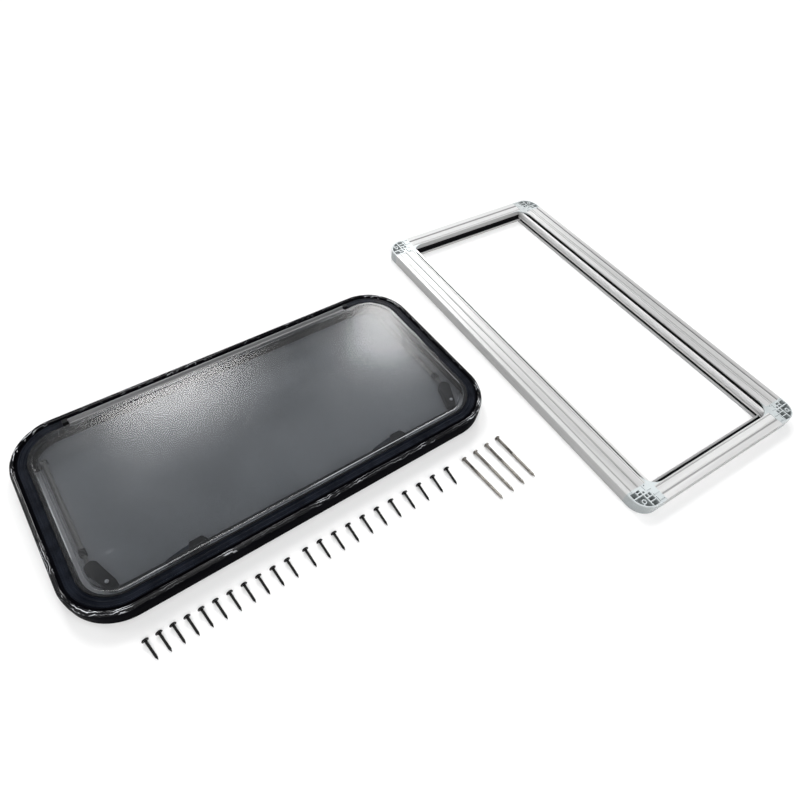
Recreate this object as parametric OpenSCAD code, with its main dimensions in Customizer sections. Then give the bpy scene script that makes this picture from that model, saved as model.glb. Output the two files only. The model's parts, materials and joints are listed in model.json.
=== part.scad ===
// Top-hung hatch in a black rim, with the blind cassette and the loose fixings that go with it.
// Millimetres, +Z up. The bench is Z = 0, the hatch is centred on the origin and its hinge runs along X.

/* [Hatch rim] */
// Overall width of the rim, along the hinge
hatch_w = 900; // [600:10:1200]
// Overall height of the rim, across the hinge
hatch_h = 450; // [370:10:600]
// Outer corner radius of the rim
corner_r = 100; // [90:5:120]
// Height of the rim's crest above the bench
rim_top = 38; // [37:0.5:44]
// Thickness of the clamp ring
clamp_t = 12; // [10:0.5:14]
// Thickness of the rubber strip under the rim
gasket_t = 2; // [1:0.5:3]
// Inset of the barrel that passes through the wall
barrel_in = 28; // [26:1:30]

/* [Sash] */
// Thickness of the outer pane's flat border
pane_t = 3; // [2:0.5:4]
// Rise of the outer pane's crown
crown_rise = 3.4; // [1:0.2:4]
// Inset of the pane's edge from the rim's outer edge
pane_inset = 32; // [32:0.5:33]
// Inset of the crease around the pane's raised field
crease_inset = 41; // [38:1:44]
// Depth of the inner pane's tray below the outer pane
tray_depth = 17; // [12:0.5:17]
// Wall of the inner pane
tray_wall = 2.5; // [2:0.5:4]

/* [Hinge] */
// Radius of the bead on the sash's hinge strip
bead_r = 3; // [2.4:0.1:3.2]
// Radial clearance of the bead in its rail
bead_fit = 0.06; // [0.02:0.01:0.1]
// Half length of the hinge rail
rail_half = 322; // [180:2:330]

/* [Latches] */
// Distance of each latch from the middle
latch_x = 220; // [120:5:260]
// Length of the latch handle
handle_len = 62; // [40:1:75]
// Radius of the latch pivot
latch_pin_r = 3; // [2.5:0.1:3.5]

/* [Stays] */
// Outer radius of the stay tube
stay_tube_r = 5; // [4:0.5:5.5]
// Radius of the stay rod
stay_rod_r = 3.5; // [2.5:0.1:3.6]
// Radius of the stay's pivot in the rim
stay_pin_r = 3; // [2.4:0.1:3.4]
// Hinge line to the stay's pivot in the rim
stay_foot = 55; // [50:1:70]

/* [Cassette] */
// Cassette size across its long rails
cass_w = 508; // [420:2:620]
// Cassette size along its long rails
cass_l = 935; // [700:5:1200]
// Cassette depth
cass_d = 26; // [25:0.5:30]
// Outer corner radius of the cassette
cass_r = 38; // [20:1:40]
// Gap between the hatch and the cassette on the bench
cass_gap = 88; // [60:1:160]
// How far the cassette sits towards the near side
cass_drop = 122; // [0:1:200]
// Turn of the cassette on the bench, in degrees
cass_turn = -2.8; // [-10:0.1:10]
// Thickness of each pull bar
bar_t = 7; // [5:0.5:8]

/* [Loose fixings] */
// Number of clamp screws
clamp_screws_n = 22; // [8:2:30]
// Length of a clamp screw under its head
clamp_screw_len = 38; // [16:1:45]
// Shank radius of a clamp screw
clamp_screw_r = 2.4; // [1.8:0.1:2.8]
// Number of long screws
long_screws_n = 4; // [4:1:8]
// Length of a long screw under its head
long_screw_len = 112; // [60:1:130]
// Shank radius of a long screw
long_screw_r = 3; // [2:0.1:3.2]

/* [Hidden] */
$fn = 64;
eps = 0.01;
gap = 0.3;
black = [0.05, 0.05, 0.06];
rubber = [0.08, 0.09, 0.11];
alloy = [0.78, 0.79, 0.8];
half_w = hatch_w / 2;
half_h = hatch_h / 2;

// rim section, as insets from the outer edge
wall = 2.5;
flange_z = clamp_t + gasket_t;
crest_in = 5;
groove_in = 9.5;
groove_z = rim_top - 7;
rib_in = 13.2;
rib_t = 1.6;
ledge_in = 39.5;
ledge_top = rim_top - 10.5;
ledge_z = ledge_top - wall;
barrel_end = barrel_in + 3;
screw_in = 19;
screw_slot = 3.6;
screw_slot_d = 8;
ring_hole_r = clamp_screw_r + gap;

// ring screws: four to each half of a long side, and three to a short side
ring_cols = 4;
ring_pitch_x = (hatch_w - 2 * corner_r) / (2 * ring_cols) * 0.97;
ring_pitch_y = (hatch_h - 2 * corner_r) / 2 * 0.72;

// sash levels
pane_z = rim_top - 4;
tray_inset = 47;
tray_z = pane_z - tray_depth;
pane_top = pane_z + pane_t + crown_rise + 0.1;
crown_steps = 12;

// hinge line
rail_wall = 1.8;
hinge_in = rib_in + rib_t + bead_r + rail_wall + 0.4;
hinge_y = half_h - hinge_in;
hinge_z = ledge_top + bead_r + rail_wall + 0.2;
cap_len = 11;

// latch
latch_y = -half_h + 61;
tongue_len = 15;
latch_front = 9;
latch_top = tray_z;
latch_under = tray_z - 7.5;
handle_z0 = 3.7;
handle_z1 = latch_under - gap;
keeper_t = 2.1;
keeper_lip_z = handle_z1 + 0.8;
keeper_reach = half_h + latch_y - latch_front - barrel_end - 0.8;

// stays
stay_x = half_w - 57;
stay_z = tray_z - stay_tube_r - 2;
foot_y = hinge_y - stay_foot;
tip_y = -half_h + 115;
collar_y = tip_y + 38;
collar_len = 14;
stay_eye_r = 6.5;
stay_eye_w = 11;
stay_bore_r = stay_rod_r + gap;
pin_fit = 0.06;
cross_r = 2.5;
cross_half = 6.5;
play_along = 3;
play_across = 3.2;
bracket_roof = 0.6;

// cassette
cass_x = half_w + cass_gap + cass_w / 2;
seam_v = 50;
seam_u = 64;
long_web = 54;
long_lip = 78;
end_web = 36;
end_lip = seam_v;
web_z = cass_d - 3.2;
floor_z = 2.2;
lip_z = 4;
bar_u = 61;
bar_z0 = lip_z + 0.6;
bar_z1 = web_z - 1;
bar_v = end_web + 0.5;
face_z = 11;
tongue_z = 7.2;
tongue_t = 1.2;
tongue_v = end_web + 4;
pile_h = 1.3;
pleats_n = 16; // even
pleat_u0 = 39;
pleat_u1 = bar_u - 0.6;
pleat_t = 0.5;
hole_a = [18, 20];
hole_b = [45, 47];
// each as u0, v0, u1, v1
POCKETS = [[3, 34, 16.5, 45], [3, 3, 27.5, 31.5], [30, 3, 44.5, 12.5], [30, 14.5, 44.5, 22], [30, 24, 36, 31],
    [38, 24, 44.5, 31], [18.5, 34, 27.5, 38.5], [18.5, 40.5, 27.5, 45], [30, 34, 35, 38.5]];
NOTCHES = [[3, 46.5, 12, 48.5], [46.5, 3, 49, 17], [46.5, 19, 49, 24], [51, 5, 62, 7], [51, 20, 62, 21.5],
    [40, 34, 52, 35.5], [38, 37, 39.5, 48]];

// loose fixings
clamp_pitch = (hatch_w - 2 * corner_r + 50) / (clamp_screws_n + 3.2);
clamp_row_x = -half_w + 88;
clamp_row_y = -half_h - 43.5;
clamp_head_r = 2.7 * clamp_screw_r;
group_gap = 8;
long_pitch = 31.5;
clamp_last = clamp_screws_n - 1;
clamp_last_x = clamp_row_x + clamp_pitch * (0.766 + 0.0104 * clamp_last) * clamp_last + group_gap;
long_row_x = clamp_last_x + 45.75;
long_row_y = -half_h - 52;
long_head_r = 2 * long_screw_r;

// ---------- shared shapes ----------

// flat rounded rectangle
module plate_2d(w, h, r) {
    translate([-w / 2 + r, -h / 2]) square([w - 2 * r, h]);
    translate([-w / 2, -h / 2 + r]) square([w, h - 2 * r]);
    for (sx = [-1, 1])
        for (sy = [-1, 1])
            translate([sx * (w / 2 - r), sy * (h / 2 - r)]) circle(r);
}

// rounded block that follows the rim at a given inset
module inset_block(inset, z0, z1) {
    translate([0, 0, z0]) linear_extrude(z1 - z0)
        plate_2d(hatch_w - 2 * inset, hatch_h - 2 * inset, corner_r - inset);
}

// one straight side of a rim: a section of (inset, height) run along a length
module side_run(len, offset) {
    translate([-len / 2, -offset, 0]) rotate([90, 0, 90]) linear_extrude(len) children();
}

// a closed ring that follows the rim, from a section of (inset, height)
module rim_ring() {
    run_x = hatch_w - 2 * corner_r;
    run_y = hatch_h - 2 * corner_r;
    side_run(run_x, half_h) children();
    rotate([0, 0, 180]) side_run(run_x, half_h) children();
    rotate([0, 0, 90]) side_run(run_y, half_w) children();
    rotate([0, 0, -90]) side_run(run_y, half_w) children();
    for (i = [0:3])
        translate([(i == 0 || i == 3 ? 1 : -1) * run_x / 2, (i < 2 ? 1 : -1) * run_y / 2, 0])
            rotate([0, 0, 90 * i])
                rotate_extrude(angle = 90, $fn = 96)
                    translate([corner_r, 0]) mirror([1, 0]) children();
}

// bar along X, centred, from a section of (y, z)
module run_x(len) {
    translate([-len / 2, 0, 0]) rotate([90, 0, 90]) linear_extrude(len) children();
}

module cyl_x(r, len) {
    rotate([0, 90, 0]) cylinder(r = r, h = len, center = true);
}

module cyl_y(r, y0, y1) {
    translate([0, y0, 0]) rotate([-90, 0, 0]) cylinder(r = r, h = y1 - y0);
}

// ---------- rim ----------

module rim_section() {
    difference() {
        polygon([[0, flange_z], [0, rim_top - 7], [1.2, rim_top - 3.2], [3, rim_top - 1],
            [crest_in, rim_top], [groove_in - 1, rim_top - 1.2], [groove_in, groove_z],
            [rib_in, groove_z], [rib_in, rim_top - 3.5], [rib_in + rib_t, rim_top - 3.5],
            [rib_in + rib_t, ledge_top], [ledge_in, ledge_top], [ledge_in, ledge_z],
            [barrel_end, ledge_z], [barrel_end, 1], [barrel_in, 1], [barrel_in, flange_z]]);
        translate([wall, flange_z + wall])
            square([screw_in - screw_slot / 2 - 2 * wall, groove_z - flange_z - 2 * wall]);
        translate([screw_in - screw_slot / 2, flange_z - 1])
            square([screw_slot, screw_slot_d + 1]);
    }
}

module outer_rim() {
    color(black) rim_ring() rim_section();
}

module ring_holes() {
    for (sy = [-1, 1])
        for (sx = [-1, 1])
            for (i = [0:ring_cols - 1])
                translate([sx * (i + 0.5) * ring_pitch_x, sy * (half_h - screw_in), -1])
                    cylinder(r = ring_hole_r, h = clamp_t + 2);
    for (sx = [-1, 1])
        for (j = [-1, 0, 1])
            translate([sx * (half_w - screw_in), j * ring_pitch_y, -1])
                cylinder(r = ring_hole_r, h = clamp_t + 2);
}

module clamp_ring() {
    color(black) difference() {
        rim_ring() polygon([[1, 0], [1, clamp_t], [barrel_in - gap, clamp_t], [barrel_in - gap, 0],
            [12, 0], [12, clamp_t - 5], [1 + wall, clamp_t - 5], [1 + wall, 0]]);
        ring_holes();
    }
}

module rim_gasket() {
    color(rubber) rim_ring() translate([3, clamp_t]) square([9, gasket_t]);
}

module trim_gasket() {
    top = rim_top - 4.2;
    edge = pane_inset - 0.5;
    color(rubber) difference() {
        rim_ring() polygon([[15, ledge_top], [15, top + 1.2], [17.4, top + 1.2], [18.2, top],
            [23.2, top], [24, top + 1], [25.2, top + 1], [26, top], [edge - 2.5, top],
            [edge - 1.7, top + 1.8], [edge - 0.2, top + 1.8], [edge, ledge_top]]);
        translate([-rail_half - cap_len - 2 * gap, half_h - pane_inset, ledge_top - 1])
            cube([2 * (rail_half + cap_len + 2 * gap), pane_inset, 20]);
    }
}

module pane_seal() {
    s = pane_inset + 2;
    color(rubber) rim_ring() polygon([[s, ledge_top], [s, pane_z - 3], [s + 1.2, pane_z - 0.8],
        [s + 2, pane_z], [s + 3, pane_z], [s + 3.8, pane_z - 1.2], [ledge_in - 1, ledge_top]]);
}

// ---------- hinge ----------

module hinge_rail() {
    open_r = bead_r + rail_wall + 2;
    drop = hinge_z - ledge_top;
    half = bead_r + rail_wall - gap;
    color(alloy) translate([0, hinge_y, hinge_z]) run_x(2 * rail_half) difference() {
        union() {
            circle(bead_r + rail_wall);
            translate([-half, -drop]) square([2 * half, drop - 1.3]);
        }
        circle(bead_r + bead_fit);
        polygon([[0, 0], for (a = [202:-23:110]) open_r * [cos(a), sin(a)]]);
    }
}

module hinge_end_caps() {
    color(black) for (s = [-1, 1])
        translate([s * (rail_half + gap + cap_len / 2), hinge_y, (ledge_top + rim_top - 1) / 2])
            cube([cap_len, 2 * (bead_r + rail_wall), rim_top - 1 - ledge_top], center = true);
}

module hinge_strip() {
    edge = pane_inset - hinge_in;
    color(alloy) translate([0, hinge_y, hinge_z]) run_x(2 * rail_half - 2) union() {
        circle(bead_r);
        polygon([[0, -1], [0, 1], [-edge + 1.5, 1], [-edge + 1.5, pane_z + pane_t - 0.3 - hinge_z],
            [-edge, pane_z + pane_t - 0.3 - hinge_z], [-edge, pane_z - hinge_z],
            [-edge - 1.5, pane_z - hinge_z], [-edge - 1.5, -1]]);
    }
}

// ---------- sash ----------

module outer_pane() {
    half = half_h - crease_inset;
    step = half / crown_steps;
    color([0.3, 0.32, 0.34, 0.6]) union() {
        inset_block(pane_inset, pane_z, pane_z + pane_t);
        intersection() {
            inset_block(crease_inset, pane_z + 1, pane_top + 1);
            run_x(hatch_w) polygon([[half + 1, pane_z], [half + 1, pane_top - crown_rise],
                for (i = [crown_steps:-1:-crown_steps])
                    [i * step, pane_top - crown_rise * pow(i / crown_steps, 2)],
                [-half - 1, pane_top - crown_rise], [-half - 1, pane_z]]);
        }
    }
}

module inner_pane() {
    color([0.3, 0.32, 0.34, 0.6]) difference() {
        inset_block(tray_inset, tray_z, pane_z);
        inset_block(tray_inset + tray_wall, tray_z + tray_wall, pane_z + 1);
    }
}

// ---------- latches ----------

module latch_base() {
    color(black) union() {
        translate([latch_x, latch_y, latch_under]) linear_extrude(latch_top - latch_under)
            polygon([[-18, -latch_front], [-18, -2], [-13.5, 8], [-11.5, 9.5], [11, 9.5], [13, 8], [18, -2],
                [18, -latch_front]]);
        translate([latch_x, latch_y, handle_z0 - gap])
            cylinder(r = latch_pin_r, h = latch_under - handle_z0 + gap + eps);
    }
}

module latch_handle(side) {
    hub = 9;
    color(black) translate([latch_x * side, latch_y, handle_z0]) linear_extrude(handle_z1 - handle_z0)
        difference() {
            union() {
                circle(hub);
                polygon([[0, -hub], [0, hub], [-20, hub], [-38, 6.8], [-handle_len + 5, 3.5],
                    [-handle_len + 5, -6]]);
                translate([-handle_len + 5, -1.25]) circle(4.75);
                translate([-5, -tongue_len]) square([10, tongue_len]);
            }
            circle(latch_pin_r + pin_fit);
        }
}

module latch_keeper() {
    color(alloy) translate([latch_x, -half_h + barrel_end, 0]) rotate([90, 0, 90])
        translate([0, 0, -12]) linear_extrude(24)
            polygon([[0, 3], [0, keeper_lip_z + 2], [keeper_reach, keeper_lip_z + 2], [keeper_reach, keeper_lip_z],
                [keeper_t, keeper_lip_z], [keeper_t, 3]]);
}

module latch_pivot_caps() {
    color(alloy) for (s = [-1, 1])
        translate([s * latch_x, latch_y, handle_z0 - gap - 1.2]) cylinder(r = 5, h = 1.2);
}

// ---------- stays ----------

module stay_tube() {
    color([0.7, 0.71, 0.72]) translate([stay_x, 0, stay_z]) difference() {
        union() {
            cyl_y(stay_tube_r, collar_y, foot_y);
            translate([0, foot_y, 0]) cyl_x(stay_eye_r, stay_eye_w);
        }
        translate([0, foot_y, 0]) cyl_x(stay_pin_r + pin_fit, stay_eye_w + 2);
        cyl_y(stay_bore_r, collar_y - 1, foot_y - 20);
    }
}

module stay_collar() {
    color(black) translate([stay_x, 0, stay_z]) difference() {
        cyl_y(stay_tube_r + 1.4, collar_y - collar_len / 2, collar_y + collar_len / 2);
        cyl_y(stay_tube_r + eps, collar_y, collar_y + collar_len);
        cyl_y(stay_bore_r, collar_y - collar_len, collar_y + eps);
    }
}

module stay_rod() {
    color(alloy) translate([stay_x, 0, stay_z]) union() {
        cyl_y(stay_rod_r, tip_y, foot_y - 60);
        translate([0, tip_y, 0]) cyl_x(cross_r, 2 * cross_half);
    }
}

module stay_foot() {
    face = stay_x + stay_eye_w / 2 + 0.5;
    inner = stay_x - stay_eye_w / 2 - gap;
    color(black) union() {
        intersection() {
            translate([face, foot_y - 9, 3]) cube([40, 18, tray_z - 3.6]);
            inset_block(barrel_end + 0.05, 0, 30);
        }
        translate([(inner + face + 1) / 2, foot_y, stay_z]) cyl_x(stay_pin_r, face + 1 - inner);
        translate([inner - 0.75, foot_y, stay_z]) cyl_x(stay_pin_r + 1.5, 1.5);
    }
}

module stay_bracket() {
    lobe_x = half_w - 78;
    lobe_y = -half_h + 71;
    color(black) difference() {
        translate([0, 0, 2.4]) linear_extrude(tray_z - 2.4) union() {
            translate([stay_x - 4, tip_y]) circle(13);
            translate([lobe_x, lobe_y]) circle(10);
            polygon([[stay_x + 9, tip_y], [stay_x - 17, tip_y], [lobe_x - 10, lobe_y + 1],
                [lobe_x + 9, lobe_y - 5]]);
        }
        translate([stay_x - stay_rod_r - 0.7, tip_y - 8, -1])
            cube([2 * (stay_rod_r + 0.7), 40, tray_z + 1 - bracket_roof]);
        translate([stay_x - cross_half - 0.5, tip_y - cross_r - play_along, stay_z - cross_r - play_across])
            cube([2 * (cross_half + 0.5), 2 * (cross_r + play_along), 2 * (cross_r + play_across)]);
    }
}

module stay_bracket_rivets() {
    color(alloy) for (s = [-1, 1])
        translate([s * (half_w - 74), -half_h + 76, tray_z + tray_wall]) cylinder(r = 3.5, h = 1.4);
}

// ---------- cassette ----------

// local frame: u across from the blind-side rail, v along from the near end
module on_cassette() {
    translate([cass_x, -cass_drop, 0]) rotate([0, 0, cass_turn])
        translate([-cass_w / 2, -cass_l / 2, 0]) children();
}

module screen_side() {
    translate([cass_w, 0, 0]) mirror([1, 0, 0]) children();
}

module far_end() {
    translate([0, cass_l, 0]) mirror([0, 1, 0]) children();
}

// run a section of (u, z) along v
module run_v(v0, v1) {
    translate([0, v1, 0]) rotate([90, 0, 0]) linear_extrude(v1 - v0) children();
}

// run a section of (v, z) along u
module run_u(u0, u1) {
    translate([u0, 0, 0]) rotate([90, 0, 90]) linear_extrude(u1 - u0) children();
}

module long_rail() {
    d = cass_d;
    color(alloy) run_v(seam_v, cass_l - seam_v)
        polygon([[0, 0], [0, d], [12, d], [12, d - 1.6], [13.6, d - 1.6], [13.6, d - 0.8],
            [28.5, d - 0.8], [28.5, d - 1.8], [30.5, d - 1.8], [30.5, d], [36, d], [37, d - 1.4],
            [50, d - 1.4], [50.8, d], [long_web, d], [long_web, web_z], [2, web_z], [2, floor_z],
            [long_lip - 4, floor_z], [long_lip - 4, lip_z], [long_lip, lip_z], [long_lip, 0]]);
}

module end_rail() {
    d = cass_d;
    color(alloy) run_u(seam_u, cass_w - seam_u) difference() {
        polygon([[0, 0], [0, d], [14, d], [15, d - 1.4], [17.5, d - 1.4], [18.5, d - 0.4],
            [29, d - 0.4], [30, d - 1.4], [33.5, d - 1.4], [34.3, d], [end_web, d],
            [end_web, face_z], [end_web - 2, face_z], [end_web - 2, floor_z], [end_lip - 4, floor_z],
            [end_lip - 4, lip_z], [end_lip, lip_z], [end_lip, 0]]);
        translate([2, floor_z]) square([end_web - 6, web_z - floor_z]);
    }
}

// plan of a corner block, square inside and rounded outside
module corner_plan(u, v, r) {
    difference() {
        square([u, v]);
        difference() {
            square([r, r]);
            translate([r, r]) circle(r);
            translate([r, 0]) square([r, r]);
            translate([0, r]) square([r, r]);
        }
    }
}

module corner_block() {
    fillet = 36;
    color([0.86, 0.88, 0.88]) difference() {
        union() {
            linear_extrude(floor_z) corner_plan(seam_u, seam_v, cass_r);
            linear_extrude(web_z) corner_plan(38, seam_v, cass_r);
            linear_extrude(web_z) corner_plan(seam_u, 32, cass_r);
            translate([0, 0, web_z]) linear_extrude(cass_d - web_z) {
                corner_plan(long_web, seam_v, cass_r);
                corner_plan(seam_u, end_web, cass_r);
                difference() {
                    translate([long_web, end_web]) square([fillet, fillet]);
                    translate([long_web + fillet, end_web + fillet]) circle(fillet);
                }
            }
        }
        // open pockets between ribs, deep where the block is solid
        translate([0, 0, 10]) linear_extrude(cass_d) difference() {
            intersection() {
                translate([wall, wall]) corner_plan(seam_u - 2 * wall, seam_v - 2 * wall, cass_r - wall);
                for (p = POCKETS)
                    translate([p[0], p[1]]) square([p[2] - p[0], p[3] - p[1]]);
            }
            translate(hole_a) circle(long_screw_r + 2.2);
            translate(hole_a) rotate(225) translate([0, -1]) square([40, 2]);
        }
        // shallow notches beside the seams
        for (p = NOTCHES)
            translate([p[0], p[1], cass_d - 1.8]) cube([p[2] - p[0], p[3] - p[1], cass_d]);
        translate([hole_a[0], hole_a[1], -1]) cylinder(r = long_screw_r + 0.2, h = cass_d + 2);
        translate([hole_b[0], hole_b[1], web_z - 1]) cylinder(r = 1.6, h = cass_d);
    }
}

// black angle under an end rail's face; its tongue runs in a slot across the end of each bar
module guide_strip() {
    back = end_web - 1.95;
    color(black) run_u(seam_u + gap, cass_w - seam_u - gap)
        polygon([[back, floor_z + 0.1], [back, face_z - 0.1], [back + 1.4, face_z - 0.1],
            [back + 1.4, tongue_z + tongue_t], [tongue_v, tongue_z + tongue_t], [tongue_v, tongue_z],
            [back + 1.4, tongue_z], [back + 1.4, floor_z + 0.7],
            [end_lip - 4.5, floor_z + 0.7], [end_lip - 4.5, floor_z + 0.1]]);
}

// black pile seal on a long rail's lip, under the bar
module pile_strip() {
    color(black) run_v(seam_v + gap, cass_l - seam_v - gap)
        translate([bar_u + 1, floor_z + 0.1]) square([long_lip - 4.5 - bar_u - 1, pile_h]);
}

module pull_bar() {
    f = bar_u + bar_t;
    m = (bar_z0 + bar_z1) / 2;
    color(alloy) difference() {
        run_v(bar_v, cass_l - bar_v)
            polygon([[bar_u, bar_z0], [bar_u, bar_z1], [f - 1.5, bar_z1], [f, bar_z1 - 1.3],
                [f, m + 4.6], [f - 0.8, m + 4.2], [f - 0.8, m + 3.4], [f, m + 3], [f, m + 1.6],
                [f - 0.8, m + 1.2], [f - 0.8, m + 0.4], [f, m], [f, m - 1], [f - 1.8, m - 1.8],
                [f - 1.8, bar_z0 + 2], [f, bar_z0 + 1], [f, bar_z0]]);
        for (v = [bar_v - 1, cass_l - tongue_v - gap])
            translate([bar_u - 1, v, tongue_z - gap])
                cube([bar_t + 2, tongue_v + gap - bar_v + 1, tongue_t + 2 * gap]);
    }
}

// folded cloth parked behind its bar: a strip of constant thickness with squared folds
module pleats() {
    step = (pleat_u1 - pleat_u0 - pleat_t) / pleats_n;
    a = pleat_t / 2;
    u0 = pleat_u0 + a;
    un = u0 + pleats_n * step;
    lo = bar_z0 + 0.4;
    hi = bar_z1 - 0.4;
    k = a * (hi - lo) / step;
    color([0.2, 0.2, 0.22]) run_v(tongue_v + 1, cass_l - tongue_v - 1)
        polygon(concat([[u0 - a, lo]],
            [for (i = [1:pleats_n - 1]) each fold(u0 + i * step, i % 2 == 1, a, lo + k, hi)],
            [[un + a, lo], [un - a, lo]],
            [for (i = [pleats_n - 1:-1:1]) each fold(u0 + i * step, i % 2 == 0, -a, hi - k, lo)],
            [[u0 + a, lo]]));
}

// the points one side of the cloth passes at a fold: two on its outside, one on its inside
function fold(u, outside, a, z_in, z_out) = outside ? [[u - a, z_out], [u + a, z_out]] : [[u, z_in]];

// ---------- loose fixings ----------

// pan-head screw lying on the bench, head at the origin and tip towards -Y
module lying_screw(shank_r, len, head_r, head_h) {
    tip = 2.2 * shank_r;
    lie = atan((head_r - shank_r) / (len - tip));
    lift = head_r * cos(lie) + head_h * sin(lie) + 0.02;
    translate([0, 0, lift]) rotate([90 + lie, 0, 0]) union() {
        cylinder(r1 = head_r * 0.72, r2 = head_r, h = head_h * 0.5);
        translate([0, 0, head_h * 0.5]) cylinder(r = head_r, h = head_h * 0.5);
        translate([0, 0, head_h - eps]) cylinder(r = shank_r, h = len - tip + eps);
        translate([0, 0, head_h + len - tip]) cylinder(r1 = shank_r, r2 = 0.4, h = tip);
    }
}

module clamp_screws() {
    color(black) for (i = [0:clamp_screws_n - 1])
        translate([clamp_row_x + clamp_pitch * (0.766 + 0.0104 * i) * i
                + (i < clamp_screws_n / 2 ? 0 : group_gap), clamp_row_y - i * 0.35, 0])
            rotate([0, 0, 8 - 12.4 * i / clamp_screws_n])
                lying_screw(clamp_screw_r, clamp_screw_len, clamp_head_r, 3.4);
}

module long_screws() {
    color(alloy) for (i = [0:long_screws_n - 1])
        translate([long_row_x + i * long_pitch, long_row_y + i, 0])
            rotate([0, 0, 3.8 - 2.6 * i / long_screws_n])
                lying_screw(long_screw_r, long_screw_len, long_head_r, 4);
}

module mirror_x() {
    mirror([1, 0, 0]) children();
}

outer_rim();
clamp_ring();
rim_gasket();
trim_gasket();
pane_seal();
hinge_rail();
hinge_end_caps();
mirror_x() latch_keeper();  // latch_keeper_left
latch_keeper();  // latch_keeper_right
mirror_x() stay_foot();  // stay_foot_left
stay_foot();  // stay_foot_right
outer_pane();
inner_pane();
hinge_strip();
translate([-2 * latch_x, 0, 0]) latch_base();  // latch_base_left
latch_base();  // latch_base_right
latch_pivot_caps();
mirror_x() stay_bracket();  // stay_bracket_left
stay_bracket();  // stay_bracket_right
stay_bracket_rivets();
latch_handle(-1);  // latch_handle_left
latch_handle(1);  // latch_handle_right
mirror_x() stay_tube();  // stay_tube_left
stay_tube();  // stay_tube_right
mirror_x() stay_collar();  // stay_collar_left
stay_collar();  // stay_collar_right
mirror_x() stay_rod();  // stay_rod_left
stay_rod();  // stay_rod_right
on_cassette() long_rail();  // cassette_rail_blind_side
on_cassette() screen_side() long_rail();  // cassette_rail_screen_side
on_cassette() end_rail();  // cassette_end_rail_near
on_cassette() far_end() end_rail();  // cassette_end_rail_far
on_cassette() corner_block();  // cassette_corner_near_blind
on_cassette() screen_side() corner_block();  // cassette_corner_near_screen
on_cassette() far_end() corner_block();  // cassette_corner_far_blind
on_cassette() far_end() screen_side() corner_block();  // cassette_corner_far_screen
on_cassette() guide_strip();  // guide_strip_near
on_cassette() far_end() guide_strip();  // guide_strip_far
on_cassette() pile_strip();  // pile_strip_blind
on_cassette() screen_side() pile_strip();  // pile_strip_screen
on_cassette() pull_bar();  // blackout_bar
on_cassette() screen_side() pull_bar();  // flyscreen_bar
on_cassette() pleats();  // blackout_pleats
on_cassette() screen_side() pleats();  // flyscreen_pleats
clamp_screws();
long_screws();
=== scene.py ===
"""Fine shapes and finishes of a top-hung window hatch kit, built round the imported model.

Lengths are in metres.
"""

import json
import logging
import math
from dataclasses import dataclass
from enum import Enum

import bmesh
import bpy
from mathutils import Matrix, Vector


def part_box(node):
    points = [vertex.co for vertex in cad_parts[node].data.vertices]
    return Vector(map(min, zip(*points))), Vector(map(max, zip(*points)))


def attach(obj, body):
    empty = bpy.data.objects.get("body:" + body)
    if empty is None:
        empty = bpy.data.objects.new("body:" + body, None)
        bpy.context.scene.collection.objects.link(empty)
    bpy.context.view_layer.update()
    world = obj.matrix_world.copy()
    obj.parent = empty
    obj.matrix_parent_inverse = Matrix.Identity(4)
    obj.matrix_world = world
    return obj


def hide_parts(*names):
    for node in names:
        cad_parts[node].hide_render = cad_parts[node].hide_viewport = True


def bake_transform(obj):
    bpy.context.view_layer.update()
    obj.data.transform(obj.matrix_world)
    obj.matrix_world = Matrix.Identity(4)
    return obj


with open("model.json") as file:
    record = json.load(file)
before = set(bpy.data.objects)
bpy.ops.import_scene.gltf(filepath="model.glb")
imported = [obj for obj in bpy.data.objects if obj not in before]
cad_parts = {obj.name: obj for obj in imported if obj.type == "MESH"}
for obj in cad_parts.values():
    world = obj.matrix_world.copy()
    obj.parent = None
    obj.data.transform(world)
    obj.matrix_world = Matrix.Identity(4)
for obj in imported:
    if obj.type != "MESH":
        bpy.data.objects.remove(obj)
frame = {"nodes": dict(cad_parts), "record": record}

log = logging.getLogger("hatch")
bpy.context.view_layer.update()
MM = 0.001
Colour = tuple[float, float, float]
Point = tuple[float, float]
Socket = bpy.types.NodeSocket


class Slot(Enum):
    """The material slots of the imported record."""

    BLACK_FRAME = "black_frame"
    RUBBER = "rubber"
    BLACK_PLASTIC = "black_plastic"
    NAVY_PLASTIC = "navy_plastic"
    SMOKED_ACRYLIC = "smoked_acrylic"
    ALUMINIUM = "aluminium"
    STAY_ALLOY = "stay_alloy"
    CORNER_PLASTIC = "corner_plastic"
    BLACKOUT_CLOTH = "blackout_cloth"
    SCREEN_MESH = "screen_mesh"
    BLACK_STEEL = "black_steel"
    BRIGHT_STEEL = "bright_steel"


# ---------- node trees ----------


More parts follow.
